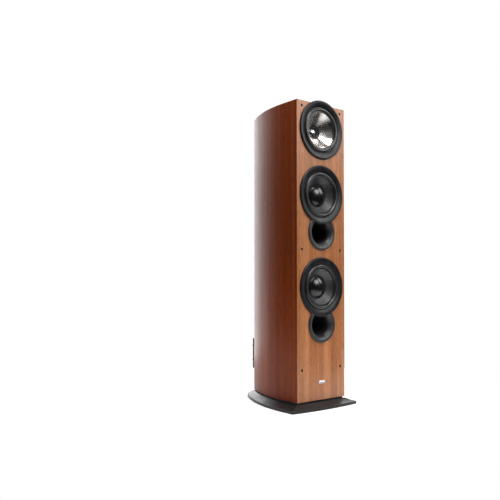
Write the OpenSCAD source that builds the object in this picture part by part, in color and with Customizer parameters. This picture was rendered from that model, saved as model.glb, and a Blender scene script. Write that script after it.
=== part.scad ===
// Floorstanding three-driver loudspeaker with a curved cabinet, two reflex ports and a plinth.
// The front faces -Y, +Z is up, and the origin is on the floor under the middle of the plinth.

/* [Cabinet] */
// Width of the front board
cab_w = 220; // [212:1:240]
// Height of the cabinet without the plinth
cab_h = 980; // [975:1:1100]
// Depth from the front board's face to the back
cab_d = 327; // [315:1:350]
// Length of the straight stretch of each side, from the front
side_flat = 62; // [50:1:80]
// Radius of the rounded back, outside
back_r = 50; // [48:1:60]
// Thickness of the curved side and back wall
shell_t = 15; // [14:1:16]
// Thickness of the front board
baffle_t = 20; // [18:1:22]
// Thickness of the top and bottom panels
panel_t = 18; // [12:1:18]

/* [Plinth] */
// Half width of the plinth at its front corners
plinth_hw = 147.5; // [140:0.5:160]
// How far the front corners of the plinth stand ahead of the cabinet
plinth_front = 20; // [15:1:30]
// How far the middle of the plinth's front bows ahead of its corners
plinth_bow = 10; // [5:1:15]
// How far the plinth reaches behind the cabinet
plinth_back = 28; // [26:1:40]
// Radius of the rounded back of the plinth
plinth_back_r = 66; // [60:1:75]
// Height of the upright lip round the plinth
lip_h = 10; // [6:1:12]
// Height of the sloping top of the plinth, at the cabinet
bevel_top = 23; // [20:1:26]
// Height of the shadow gap between plinth and cabinet
gap_h = 5; // [3:1:6]

/* [Drivers] */
// Height of the top driver's axis above the cabinet's underside
coax_z = 894; // [893:1:895]
// Height of the upper woofer's axis above the cabinet's underside
upper_z = 678; // [677:1:679]
// Height of the lower woofer's axis above the cabinet's underside
lower_z = 372; // [371:1:373]
// Outer radius of a trim ring
ring_r = 98; // [96:0.5:98]
// How far a trim ring stands proud of the front board
ring_h = 6; // [5.5:0.5:8]
// Radius of the opening inside a trim ring
open_r = 76; // [75.5:0.1:76.3]
// Outer radius of the moving cones
cone_r = 62; // [61:0.5:62.5]
// Radius of the woofers' dust caps
cap_r = 36.5; // [34:0.5:38]

/* [Ports] */
// Distance of each port's axis below its woofer's axis
port_drop = 124.5; // [124:0.5:126]
// Outer radius of the port's flange
port_flange_r = 60; // [58:0.5:62]
// Radius of the port's bore
port_r = 36.5; // [35:0.5:38]
// Length of the port tube behind the front board's face
port_len = 140; // [110:5:150]

/* [Terminals] */
// Height of the middle of the terminal panel above the cabinet's underside
term_z = 127; // [124:1:127]
// Distance between the posts of a pair
post_pitch = 19; // [18:0.5:22]
// Distance between the two pairs
pair_pitch = 52; // [46:1:56]

/* [Hidden] */
$fn = 96;

// A gap that keeps neighbouring faces apart, and a cut that runs clean past a face
gap = 0.3;
past = 1;

// Places: the cabinet's underside, and its front face with the plinth centred on the origin
base_z = bevel_top + gap_h;
front_y = -(cab_d + plinth_back - plinth_front - plinth_bow) / 2;
half_w = cab_w / 2;
coax_axis = base_z + coax_z;
upper_axis = base_z + upper_z;
lower_axis = base_z + lower_z;
woofer_axes = [upper_axis, lower_axis];
driver_axes = [coax_axis, upper_axis, lower_axis];
port_axes = [upper_axis - port_drop, lower_axis - port_drop];

// Fittings on the front board
socket_x = 88;
socket_zs = [963, 495, 103];
socket_r = 4.5;
socket_bore_r = 2.5;
socket_len = 12;
badge_size = [27, 1.5, 10];
badge_z = 58.5;

// Driver: depths are measured back from the front board's face
flange_r = 82;
flange_in_r = 66;
flange_front = 1.5;
flange_back = 5;
cutout_r = 72;
screw_ring_r = 78;
screws_per_driver = 6;
screw_r = 1.6;
screw_head_r = 2.8;
screw_len = 15;
basket_back = 56;
roll_r = 5.8;
land_r = 77;
skin = 1.2;
cone_edge = 2;
woofer_neck = 30;
woofer_coil_r = 20;
mid_neck = 33;
mid_coil_r = 26;
coil_end = 70;
spider_depth = 42;
plate_t = 6;
magnet_t = 16;
magnet_r = 50;
cap_edge = 17;
cap_top = 2;

// Tweeter, carried in the hollow pole of the top driver
guide_r = 23.6;
guide_front = 33.5;
guide_back = 44;
dome_r = 12.5;
dome_edge = 40.5;
dome_top = 36;
vanes = 8;

// Terminal panel, posts and nuts
term_hw = 30;
term_hh = 55;
term_seat = 316;
term_face = cab_d + 1;
post_r = 3;
banana_r = 2;
banana_len = 15;
post_end = 22;
collar_r = 7;
collar_t = 4;
link_t = 1.5;
washer_t = 1;
nut_r = 7;
nut_len = 14;
link_front = collar_t + gap;
washer_front = link_front + link_t + gap;
nut_front = washer_front + washer_t;
post_places = [
    [-post_pitch / 2, pair_pitch / 2], [post_pitch / 2, pair_pitch / 2],
    [-post_pitch / 2, -pair_pitch / 2], [post_pitch / 2, -pair_pitch / 2]
];

// Levelling feet, under the corners of the cabinet
foot_places = [
    [-78, front_y + 34], [78, front_y + 34], [-36, front_y + 262], [36, front_y + 262]
];
foot_pocket_r = 16;
foot_pocket_h = 11;
pad_r = 12.5;
pad_h = 5;
hex_r = 6.5;
hex_h = 4;
stud_r = 4;
stud_top = 26;

// Plinth bolts, up through the plinth into the bottom panel
bolt_places = [
    [-60, front_y + 75], [60, front_y + 75], [-38, front_y + 215], [38, front_y + 215]
];
bolt_r = 3;
bolt_head_r = 5.5;
bolt_head_h = 4;
bolt_len = 34;

// Braces: heights of their undersides above the cabinet's underside
brace_t = 15;
brace_zs = [781, 466, 184];
window_inset = 42;

// Points along an arc about a centre, from one angle to another; first is 1 where the arc
// carries on from a point that is already there
function arc(centre, r, from, to, steps, first = 0) = [
    for (i = [first:steps])
        let (a = from + (to - from) * i / steps)
        [centre[0] + r * cos(a), centre[1] + r * sin(a)]
];

// Closed outline with a straight start, tangent side arcs and a round back; hw is its half
// width, flat the y where its sides start to curve, and far the y of its back
function rounded_plan(hw, start, flat, far, tail_r, steps) =
    let (
        run = far - tail_r - flat,
        r = (hw * hw + run * run - tail_r * tail_r) / (2 * (hw - tail_r)),
        turn = atan2(run, r - hw)
    )
    concat(
        [[-hw, start]],
        arc([r - hw, flat], r, 180, 180 - turn, steps),
        arc([0, far - tail_r], tail_r, 180 - turn, turn, steps, 1),
        arc([hw - r, flat], r, turn, 0, steps, 1),
        [[hw, start]]
    );

// The cabinet's plan, drawn in by a distance, from a given depth back
module cabinet_plan(inset, start) {
    translate([0, front_y])
        polygon(rounded_plan(half_w - inset, start, side_flat, cab_d - inset,
            back_r - inset, 16));
}

// The plinth's plan, with its bowed front
module plinth_plan() {
    bow_r = (pow(plinth_hw, 2) + pow(plinth_bow, 2)) / (2 * plinth_bow);
    bow_turn = asin(plinth_hw / bow_r);
    front = arc([0, bow_r - plinth_front - plinth_bow], bow_r, 270 + bow_turn, 270 - bow_turn, 16);
    translate([0, front_y])
        polygon(concat(
            rounded_plan(plinth_hw, -plinth_front, side_flat / 2, cab_d + plinth_back,
                plinth_back_r, 20),
            [for (i = [1:15]) front[i]]
        ));
}

// Turns a shape so that its +Z points out of the front board at a given height
module facing_front(z) {
    translate([0, front_y, z]) rotate([90, 0, 0]) children();
}

// Turns a shape so that its +Z points out of the terminal panel at a post
module at_post(place) {
    translate([place[0], front_y + term_face, base_z + term_z + place[1]])
        rotate([-90, 0, 0]) children();
}

// A ring or disc from one depth to another, seen along a driver's axis
module ring(inner_r, outer_r, back, front) {
    rotate_extrude() translate([inner_r, -back]) square([outer_r - inner_r, back - front]);
}

// Cabinet

module cabinet_shell() {
    color("saddlebrown")
        difference() {
            translate([0, 0, base_z])
                linear_extrude(cab_h)
                    difference() {
                        cabinet_plan(0, baffle_t);
                        cabinet_plan(shell_t, 0);
                    }
            translate([0, front_y, base_z + term_z]) {
                translate([-term_hw - gap, term_seat, -term_hh - gap])
                    cube([2 * (term_hw + gap), cab_d - term_seat + past, 2 * (term_hh + gap)]);
                translate([-20, term_seat - 30, -45]) cube([40, 30 + past, 90]);
                for (x = [-24, 24], z = [-48, 48])
                    translate([x, term_seat - 30, z])
                        rotate([-90, 0, 0]) cylinder(r = 1.7, h = 30 + past, $fn = 24);
            }
        }
}

module front_baffle() {
    color("peru")
        difference() {
            translate([-half_w, front_y, base_z]) cube([cab_w, baffle_t, cab_h]);
            for (z = driver_axes)
                facing_front(z) {
                    translate([0, 0, -baffle_t - past]) cylinder(r = cutout_r, h = baffle_t + 2 * past);
                    translate([0, 0, -flange_back - gap])
                        cylinder(r = flange_r + gap, h = flange_back + past);
                    screw_ring() translate([0, 0, -screw_len - 3])
                        cylinder(r = screw_r + 0.1, h = screw_len);
                }
            for (z = port_axes)
                facing_front(z)
                    translate([0, 0, -baffle_t - past])
                        cylinder(r = port_flange_r - 9.5, h = baffle_t + 2 * past);
            at_sockets() translate([0, 0, -baffle_t - past])
                cylinder(r = socket_r + 0.1, h = baffle_t + 2 * past, $fn = 32);
        }
}

module top_panel() {
    color("dimgray")
        translate([0, 0, base_z + cab_h - panel_t])
            linear_extrude(panel_t) cabinet_plan(shell_t + gap, baffle_t + gap);
}

module bottom_panel() {
    color("tan")
        difference() {
            translate([0, 0, base_z])
                linear_extrude(panel_t) cabinet_plan(shell_t + gap, baffle_t + gap);
            for (p = bolt_places)
                translate([p[0], p[1], base_z - past])
                    cylinder(r = bolt_r + 0.1, h = panel_t, $fn = 32);
        }
}

// The top brace closes the top driver's own chamber, and the others are open frames
module window_braces() {
    color("tan")
        for (i = [0:2])
            translate([0, 0, base_z + brace_zs[i]])
                linear_extrude(brace_t)
                    difference() {
                        cabinet_plan(shell_t + gap, baffle_t + gap);
                        if (i > 0) cabinet_plan(window_inset, baffle_t + window_inset / 2);
                        translate([-75, front_y + 60]) circle(r = 6, $fn = 32);
                    }
}

// Filling against the walls of the chambers, between the braces
module wadding() {
    liner = 20;
    spans = [[brace_zs[0] + brace_t, cab_h - panel_t], [brace_zs[1] + brace_t, brace_zs[0]],
        [brace_zs[2] + brace_t, brace_zs[1]]];
    color("white")
        for (s = spans)
            translate([0, 0, base_z + s[0] + past])
                linear_extrude(s[1] - s[0] - 2 * past)
                    difference() {
                        cabinet_plan(shell_t + past, side_flat);
                        cabinet_plan(shell_t + liner, side_flat - past);
                    }
}

module at_sockets() {
    for (side = [-1, 1], z = socket_zs)
        translate([side * socket_x, 0, 0]) facing_front(base_z + z) children();
}

module grille_sockets() {
    color("black")
        at_sockets()
            difference() {
                translate([0, 0, -socket_len]) cylinder(r = socket_r, h = socket_len + 0.5, $fn = 32);
                translate([0, 0, -socket_len + 2])
                    cylinder(r = socket_bore_r, h = socket_len, $fn = 32);
            }
}

module badge() {
    color("silver")
        translate([-badge_size[0] / 2, front_y - badge_size[1], base_z + badge_z - badge_size[2] / 2])
            cube(badge_size);
}

// Plinth, its bolts and its feet

module plinth() {
    color("#2b2b2d")
        difference() {
            union() {
                hull() {
                    linear_extrude(lip_h) plinth_plan();
                    translate([0, 0, bevel_top - 0.1]) linear_extrude(0.1) cabinet_plan(0, 0);
                }
                translate([0, 0, bevel_top - past])
                    linear_extrude(gap_h + past) cabinet_plan(8, 8);
            }
            for (p = foot_places)
                translate([p[0], p[1], 0]) {
                    translate([0, 0, -past]) cylinder(r = foot_pocket_r, h = foot_pocket_h + past);
                    cylinder(r = stud_r + gap, h = base_z + past, $fn = 32);
                }
            for (p = bolt_places)
                translate([p[0], p[1], 0]) {
                    translate([0, 0, -past]) cylinder(r = bolt_head_r + 1, h = 7 + past, $fn = 32);
                    cylinder(r = bolt_r + gap, h = base_z + past, $fn = 32);
                }
        }
}

module plinth_bolts() {
    color("gray")
        for (p = bolt_places)
            translate([p[0], p[1], 7 - bolt_head_h]) {
                difference() {
                    cylinder(r = bolt_head_r, h = bolt_head_h, $fn = 32);
                    translate([0, 0, -past]) cylinder(r = 2.5, h = 3, $fn = 6);
                }
                translate([0, 0, bolt_head_h]) cylinder(r = bolt_r, h = bolt_len, $fn = 32);
            }
}

// The pad stands on the floor and doesn't turn with its stud
module foot_pad(i) {
    color("#1c1c1c")
        translate([foot_places[i][0], foot_places[i][1], 0])
            rotate_extrude($fn = 48)
                polygon([[0, 0], [pad_r - 1, 0], [pad_r, 1], [pad_r, 3], [pad_r - 3, pad_h], [0, pad_h]]);
}

module foot_stud(i) {
    color("gray")
        translate([foot_places[i][0], foot_places[i][1], pad_h]) {
            cylinder(r = hex_r, h = hex_h, $fn = 6);
            cylinder(r = stud_r, h = stud_top - pad_h, $fn = 32);
        }
}

// Parts that every driver has

module screw_ring() {
    for (i = [0:screws_per_driver - 1])
        rotate([0, 0, 360 / screws_per_driver * i])
            translate([screw_ring_r, 0, 0])
                children();
}

// Dished ring with a rounded rim, and a small recess below its middle
module trim_ring(z) {
    rim = 4;
    color("#1f1f21")
        facing_front(z)
            difference() {
                rotate_extrude()
                    polygon(concat(
                        [[open_r, 0], [ring_r, 0]],
                        arc([ring_r - rim, ring_h - rim], rim, 0, 90, 6),
                        [[open_r + 13, ring_h - 1.2], [open_r + 6, ring_h - 3.2], [open_r, 1]]
                    ));
                translate([0, 10 - ring_r, ring_h - 3]) cylinder(r = 1.6, h = 5, $fn = 24);
            }
}

// Cast frame: a flange on the front board and spokes back to the magnet
module basket(z) {
    slope = [[flange_r - 13, flange_back], [46, basket_back - 4]];
    color("#3a3a3c")
        facing_front(z)
            difference() {
                rotate_extrude()
                    polygon([
                        [flange_in_r, -flange_front], [flange_r, -flange_front],
                        [flange_r, -flange_back], [slope[0][0], -slope[0][1]],
                        [slope[1][0] + 3, -slope[1][1]], [slope[1][0] + 3, -basket_back],
                        [32, -basket_back], [32, 4 - basket_back],
                        [slope[1][0], 4 - basket_back], [flange_in_r, -slope[0][1] - 1]
                    ]);
                for (i = [0:5])
                    rotate([0, 0, 60 * i])
                        translate([34, -17, -46]) cube([50, 34, 36]);
                screw_ring() {
                    translate([0, 0, -flange_back - past])
                        cylinder(r = screw_r + gap, h = flange_back + past, $fn = 24);
                    translate([0, 0, -3.5]) cylinder(r = screw_head_r + gap, h = 4, $fn = 24);
                }
            }
}

// Half-roll rubber edge with a land on each side
module surround(z) {
    middle = (cone_r + open_r) / 2 - 0.3;
    color("#161616")
        facing_front(z)
            rotate_extrude()
                polygon(concat(
                    [[middle + roll_r - skin, -flange_front], [land_r, -flange_front],
                        [land_r, -flange_front + 1], [middle + roll_r, -flange_front + 1]],
                    arc([middle, -flange_front + 1], roll_r, 0, 180, 12),
                    [[cone_r - 2.5, -flange_front + 1], [cone_r - 2.5, -flange_front + 0.2],
                        [middle - roll_r + skin, -flange_front + 0.2]],
                    arc([middle, -flange_front + 0.2], roll_r - skin, 180, 0, 12)
                ));
}

// A cone of one thickness that curves gently from its edge to its neck
module cone_shape(neck_r, neck_depth, dip) {
    steps = 8;
    outer = [for (i = [0:steps])
        let (t = i / steps)
        [cone_r + (neck_r - cone_r) * t,
            -cone_edge - (neck_depth - cone_edge) * t - dip * sin(180 * t)]];
    rotate_extrude()
        polygon(concat(
            outer,
            [for (i = [steps:-1:0]) [outer[i][0], outer[i][1] - skin]]
        ));
}

// Coil former with its winding in the magnet's gap
module voice_coil(z, r, neck) {
    color("#b87333")
        facing_front(z) {
            ring(r - 0.6, r, coil_end, neck + skin);
            ring(r, r + 0.8, coil_end - 4, basket_back - 4);
        }
}

// Sunburst of corrugations, flat at its edges
module spider(z, r) {
    waves = 4;
    steps = 32;
    inner = r + 0.4;
    outer = 45;
    line = [for (i = [0:steps])
        [inner + (outer - inner) * i / steps, -spider_depth + 1.5 * sin(360 * waves * i / steps)]];
    facing_front(z)
        rotate_extrude()
            polygon(concat(line, [for (i = [steps:-1:0]) [line[i][0], line[i][1] - 0.6]]));
}

module spiders() {
    color("#c9a24b") {
        spider(coax_axis, mid_coil_r + 0.8);
        for (z = woofer_axes) spider(z, woofer_coil_r + 0.8);
    }
}

// The washer that closes the front of each magnet
module top_plates() {
    color("darkgray") {
        facing_front(coax_axis) ring(mid_coil_r + 1.4, 46, basket_back + plate_t, basket_back);
        for (z = woofer_axes)
            facing_front(z) ring(woofer_coil_r + 1.4, 46, basket_back + plate_t, basket_back);
    }
}

module magnets() {
    front = basket_back + plate_t;
    color("#262626")
        for (z = driver_axes)
            facing_front(z) ring(31, magnet_r, front + magnet_t, front);
}

// Back plates with their pole pieces; the top driver's pole is a tube that holds the tweeter
module back_plates() {
    front = basket_back + plate_t + magnet_t;
    color("darkgray") {
        facing_front(coax_axis) {
            ring(22.3, 47, front + plate_t, front);
            ring(22.3, mid_coil_r - 1.4, front, guide_back);
        }
        for (z = woofer_axes)
            facing_front(z) {
                ring(0, 47, front + plate_t, front);
                ring(0, woofer_coil_r - 1.4, front, basket_back);
            }
    }
}

module driver_screws() {
    color("black")
        for (z = driver_axes)
            facing_front(z)
                screw_ring() {
                    difference() {
                        translate([0, 0, -3.3]) cylinder(r = screw_head_r, h = 1.7, $fn = 24);
                        translate([0, 0, -2.6]) cylinder(r = 1.3, h = 3, $fn = 6);
                    }
                    translate([0, 0, -screw_len]) cylinder(r = screw_r, h = screw_len - 3.3, $fn = 24);
                }
}

// Top driver: bright cone round a dome tweeter

module midrange_cone() {
    color("silver")
        facing_front(coax_axis) cone_shape(mid_coil_r - 0.6, mid_neck, 2);
}

// Short horn round the dome, with thin radial vanes over the dome's edge
module tweeter_waveguide() {
    throat_r = dome_r + 0.9;
    vane = [[guide_r - 1, -guide_front - 0.2], [guide_r - 1, -guide_front - 1.5],
        [throat_r + 0.5, -dome_edge + 0.3], [throat_r - 0.4, -dome_edge + 1.4],
        [6, 0.7 - dome_top], [6, 1.8 - dome_top], [throat_r, -dome_top + 1]];
    color("#232326")
        facing_front(coax_axis) {
            rotate_extrude()
                polygon([
                    [throat_r, -dome_edge], [guide_r - 0.8, -guide_front],
                    [guide_r, -guide_front], [guide_r, -guide_back],
                    [throat_r + 0.4, -guide_back], [throat_r + 0.4, -dome_edge - 1]
                ]);
            for (i = [0:vanes - 1])
                rotate([0, 0, 360 / vanes * i])
                    rotate([90, 0, 0])
                        translate([0, 0, -0.6]) linear_extrude(1.2) polygon(vane);
        }
}

// Thin dome on its coil former
module tweeter_dome() {
    rise = dome_edge - dome_top;
    ball_r = (dome_r * dome_r + rise * rise) / (2 * rise);
    spread = asin(dome_r / ball_r);
    centre = [0, -dome_top - ball_r];
    color("gainsboro")
        facing_front(coax_axis) {
            rotate_extrude()
                polygon(concat(
                    arc(centre, ball_r, 90 - spread, 90, 8),
                    arc(centre, ball_r - 0.5, 90, 90 - spread, 8)
                ));
            ring(dome_r - 0.4, dome_r, guide_back + 3.5, dome_edge - 0.2);
        }
}

// Cup, magnet disc and pole disc, stacked behind the dome
module tweeter_motor() {
    cup_in = dome_r + 0.8;
    color("gray")
        facing_front(coax_axis) {
            ring(cup_in, 22, 60, guide_back + gap);
            ring(0, 22, 63, 60);
            ring(0, 10.5, 59.9, 50.1);
            ring(0, dome_r - 1, 50, 46);
        }
}

// Woofers

module woofer_cone(z) {
    color("#4a4a4c")
        facing_front(z) cone_shape(woofer_coil_r - 0.6, woofer_neck, 3);
}

module dust_cap(z) {
    rise = cap_edge - cap_top;
    ball_r = (cap_r * cap_r + rise * rise) / (2 * rise);
    spread = asin(cap_r / ball_r);
    centre = [0, -cap_top - ball_r];
    color("#101012")
        facing_front(z)
            rotate_extrude()
                polygon(concat(
                    arc(centre, ball_r, 90 - spread, 90, 10),
                    arc(centre, ball_r - skin, 90, 90 - spread, 10)
                ));
}

// Reflex ports: a flared mouth that tucks under the woofer's ring, and a tube behind it

module port_tube(z) {
    wall = 2.5;
    mouth = 5;
    throat = 18;
    flare = [for (i = [0:8])
        let (a = 90 * i / 8)
        [port_r + (port_flange_r - 4 - port_r) * (1 - cos(a)), mouth - (mouth + throat) * (1 - sin(a))]];
    difference() {
        facing_front(z)
            rotate_extrude()
                polygon(concat(
                    [[port_r, -port_len]],
                    flare,
                    [[port_flange_r - 1, mouth - 1], [port_flange_r, mouth - 3], [port_flange_r, 0],
                        [port_flange_r - 10, 0], [port_flange_r - 12, -6], [port_r + 7, -12],
                        [port_r + wall, -throat - 2], [port_r + wall, -port_len]]
                ));
        facing_front(z + port_drop) {
            cylinder(r = ring_r + gap, h = ring_h);
            translate([0, 0, -flange_back - gap]) cylinder(r = flange_r + gap, h = flange_back + past);
        }
    }
}

module port_tubes() {
    color("#19191b")
        for (z = port_axes) port_tube(z);
}

// Terminal panel on the back

module terminal_panel() {
    color("#202022")
        translate([0, front_y, base_z + term_z])
            difference() {
                union() {
                    translate([-term_hw, term_seat, -term_hh])
                        cube([2 * term_hw, term_face - term_seat, 2 * term_hh]);
                    translate([-19.7, term_seat - 25, -44.7]) cube([39.4, 26, 89.4]);
                }
                translate([-17, term_seat - 30, -42]) cube([34, term_face - term_seat + 26, 84]);
                for (p = post_places)
                    translate([p[0], cab_d - 10, p[1]])
                        rotate([-90, 0, 0]) cylinder(r = post_r + 0.1, h = 20, $fn = 32);
                for (x = [-24, 24], z = [-48, 48])
                    translate([x, term_seat - past, z]) rotate([-90, 0, 0]) {
                        cylinder(r = 1.8, h = 20, $fn = 24);
                        translate([0, 0, term_face - term_seat - 1]) cylinder(r = 3.4, h = 3, $fn = 24);
                    }
            }
}

module terminal_screws() {
    color("black")
        for (x = [-24, 24], z = [-48, 48])
            translate([x, front_y + term_face - 2, base_z + term_z + z])
                rotate([-90, 0, 0]) {
                    difference() {
                        cylinder(r = 3, h = 1.8, $fn = 24);
                        translate([0, 0, 1]) cylinder(r = 1.4, h = 2, $fn = 6);
                    }
                    translate([0, 0, -22]) cylinder(r = 1.5, h = 22, $fn = 24);
                }
}

// Fixed posts, each with a collar outside, a nut inside and a socket in its end
module binding_posts() {
    color("gold")
        for (p = post_places)
            at_post(p)
                difference() {
                    union() {
                        translate([0, 0, -9]) cylinder(r = post_r, h = 9 + post_end, $fn = 48);
                        cylinder(r = collar_r, h = collar_t, $fn = 48);
                        translate([0, 0, -7.3]) cylinder(r = 5.5, h = 3, $fn = 6);
                    }
                    translate([0, 0, post_end - banana_len])
                        cylinder(r = banana_r, h = banana_len + past, $fn = 48);
                }
}

// Each link joins the two posts of one column
module link_plates() {
    color("goldenrod")
        for (x = [-post_pitch / 2, post_pitch / 2])
            at_post([x, 0])
                translate([0, 0, link_front])
                    linear_extrude(link_t)
                        difference() {
                            union() {
                                square([8, pair_pitch], center = true);
                                for (z = [-1, 1])
                                    translate([0, z * pair_pitch / 2]) circle(r = 6.5);
                            }
                            for (z = [-1, 1])
                                translate([0, z * pair_pitch / 2]) circle(r = post_r + gap);
                        }
}

module post_washer(i) {
    color("gold")
        at_post(post_places[i])
            translate([0, 0, washer_front])
                difference() {
                    cylinder(r = 6.3, h = washer_t, $fn = 48);
                    translate([0, 0, -past]) cylinder(r = post_r + gap, h = 4, $fn = 48);
                }
}

// Fluted grip; the left column is red and the right one black
module thumb_nut(i) {
    flutes = 12;
    color(post_places[i][0] < 0 ? "firebrick" : "#141414")
        at_post(post_places[i])
            translate([0, 0, nut_front])
                difference() {
                    union() {
                        cylinder(r = nut_r - 0.6, h = nut_len, $fn = 48);
                        for (a = [1:flutes])
                            rotate([0, 0, 360 / flutes * a])
                                translate([nut_r - 1, -0.8, 1]) cube([1, 1.6, nut_len - 2]);
                    }
                    translate([0, 0, -past]) cylinder(r = post_r + gap, h = nut_len + 2 * past, $fn = 48);
                }
}

// Crossover and wiring, on the bottom panel

board_size = [110, 120, 2];
board_place = [-55, front_y + 90, base_z + panel_t + 8];
board_top = board_place[2] + board_size[2];

module crossover_board() {
    color("darkgreen")
        translate(board_place) {
            cube(board_size);
            for (x = [8, board_size[0] - 8], y = [8, board_size[1] - 8])
                translate([x, y, -8]) cylinder(r = 4, h = 8, $fn = 24);
        }
}

module crossover_coils() {
    color("#b5651d")
        for (p = [[-31, 118], [31, 118], [0, 180]])
            translate([p[0], front_y + p[1], board_top])
                rotate_extrude($fn = 48) translate([9, 0]) square([13, 18]);
}

// Film capacitors lying on the board, and cement resistors beside them
module crossover_small_parts() {
    color("steelblue")
        for (x = [-38, 38])
            translate([x, front_y + 160, board_top + 9]) rotate([-90, 0, 0]) cylinder(r = 9, h = 40);
    color("beige")
        for (x = [-8, 1.5])
            translate([x, front_y + 98, board_top]) cube([6.5, 38, 8]);
}

// A straight run of lead with a bead at each end
module lead(from, to) {
    run = to - from;
    translate(from)
        rotate([0, atan2(norm([run[0], run[1]]), run[2]), atan2(run[1], run[0])])
            cylinder(r = 2, h = norm(run), $fn = 24);
    for (p = [from, to]) translate(p) sphere(r = 2.5, $fn = 24);
}

module wiring_harness() {
    x = -75;
    y = front_y + 57;
    foot = board_top + 4;
    color("crimson") {
        lead([0, front_y + 300, base_z + term_z - 20], [0, front_y + 215, foot]);
        lead([x, y, foot], [x, y, coax_axis]);
        lead([x, y, foot], [-50, front_y + 95, foot]);
        for (z = driver_axes) lead([x, y, z], [-53, y, z]);
    }
}

cabinet_shell();
front_baffle();
top_panel();
bottom_panel();
window_braces();
wadding();
grille_sockets();
badge();
plinth();
plinth_bolts();
foot_pad(0);  // foot_pad_1
foot_pad(1);  // foot_pad_2
foot_pad(2);  // foot_pad_3
foot_pad(3);  // foot_pad_4
foot_stud(0);  // foot_stud_1
foot_stud(1);  // foot_stud_2
foot_stud(2);  // foot_stud_3
foot_stud(3);  // foot_stud_4
trim_ring(coax_axis);  // coax_trim_ring
basket(coax_axis);  // coax_basket
surround(coax_axis);  // midrange_surround
midrange_cone();
voice_coil(coax_axis, mid_coil_r, mid_neck);  // midrange_coil
tweeter_waveguide();
tweeter_dome();
tweeter_motor();
trim_ring(upper_axis);  // upper_trim_ring
basket(upper_axis);  // upper_basket
surround(upper_axis);  // upper_surround
woofer_cone(upper_axis);  // upper_cone
dust_cap(upper_axis);  // upper_dust_cap
voice_coil(upper_axis, woofer_coil_r, woofer_neck);  // upper_coil
trim_ring(lower_axis);  // lower_trim_ring
basket(lower_axis);  // lower_basket
surround(lower_axis);  // lower_surround
woofer_cone(lower_axis);  // lower_cone
dust_cap(lower_axis);  // lower_dust_cap
voice_coil(lower_axis, woofer_coil_r, woofer_neck);  // lower_coil
spiders();
top_plates();
magnets();
back_plates();
driver_screws();
port_tubes();
terminal_panel();
terminal_screws();
binding_posts();
link_plates();
post_washer(0);  // post_washer_1
post_washer(1);  // post_washer_2
post_washer(2);  // post_washer_3
post_washer(3);  // post_washer_4
thumb_nut(0);  // thumb_nut_1
thumb_nut(1);  // thumb_nut_2
thumb_nut(2);  // thumb_nut_3
thumb_nut(3);  // thumb_nut_4
crossover_board();
crossover_coils();
crossover_small_parts();
wiring_harness();
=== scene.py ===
"""Floorstanding speaker: the looks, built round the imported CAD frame. Metres, front faces -Y."""
import bpy
import bmesh
import math
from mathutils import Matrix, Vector
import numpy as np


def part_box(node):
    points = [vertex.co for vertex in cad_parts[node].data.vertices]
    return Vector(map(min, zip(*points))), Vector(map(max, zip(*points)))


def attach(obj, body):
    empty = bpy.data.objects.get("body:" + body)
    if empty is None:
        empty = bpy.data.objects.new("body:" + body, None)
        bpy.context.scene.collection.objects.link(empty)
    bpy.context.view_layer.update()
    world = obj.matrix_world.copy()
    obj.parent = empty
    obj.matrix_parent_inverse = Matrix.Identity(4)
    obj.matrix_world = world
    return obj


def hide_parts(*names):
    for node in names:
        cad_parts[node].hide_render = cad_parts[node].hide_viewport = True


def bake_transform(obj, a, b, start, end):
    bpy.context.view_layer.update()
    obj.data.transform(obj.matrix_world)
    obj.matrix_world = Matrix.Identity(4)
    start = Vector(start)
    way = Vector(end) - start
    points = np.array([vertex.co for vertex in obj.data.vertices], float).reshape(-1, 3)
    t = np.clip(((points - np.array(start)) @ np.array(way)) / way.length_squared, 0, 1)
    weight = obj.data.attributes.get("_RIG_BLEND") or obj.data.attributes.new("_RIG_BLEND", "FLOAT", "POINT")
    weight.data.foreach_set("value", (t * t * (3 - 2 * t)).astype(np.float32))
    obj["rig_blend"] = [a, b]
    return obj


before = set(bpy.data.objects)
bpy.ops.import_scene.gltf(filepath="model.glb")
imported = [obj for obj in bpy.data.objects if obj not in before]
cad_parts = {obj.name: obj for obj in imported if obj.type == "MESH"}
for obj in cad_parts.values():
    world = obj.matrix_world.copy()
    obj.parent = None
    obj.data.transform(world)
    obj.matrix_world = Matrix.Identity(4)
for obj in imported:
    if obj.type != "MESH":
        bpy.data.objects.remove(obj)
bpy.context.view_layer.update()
MM = 0.001
TURN = 2 * math.pi


# ---------------------------------------------------------------- measures from the frame

def middle(node):
    """Centre of a CAD node's box."""
    low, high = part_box(node)
    return (low + high) / 2


BOARD_LOW, BOARD_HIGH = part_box("front_baffle")
PLINTH_LOW, PLINTH_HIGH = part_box("plinth")
FRONT = BOARD_LOW.y
BASE, TOP = BOARD_LOW.z, BOARD_HIGH.z
HALF_W = BOARD_HIGH.x
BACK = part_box("cabinet_shell")[1].y
BAFFLE_T = BOARD_HIGH.y - BOARD_LOW.y
RING_LOW, RING_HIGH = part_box("upper_trim_ring")
RING_R = (RING_HIGH.x - RING_LOW.x) / 2
RING_H = RING_HIGH.y - RING_LOW.y
AXES = {name: middle(name + "_trim_ring").z for name in ("coax", "upper", "lower")}
PORT_DROP = 124.5 * MM

# The plans of the cabinet and the plinth: where the sides start to curve, and the back's radius
SIDE_FLAT, BACK_R = 62 * MM, 50 * MM
PLINTH_FLAT, PLINTH_BACK_R = 31 * MM, 66 * MM
PLINTH_CORNER, PLINTH_BOW = 20 * MM, 10 * MM
LIP_H, BEVEL_TOP, SHADOW_INSET = 10 * MM, 23 * MM, 8 * MM
SHELL_T = 15 * MM
FLANGE_R, FLANGE_T, CUTOUT_R = 82 * MM, 5 * MM, 72 * MM
FIT = 0.3 * MM

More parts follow.
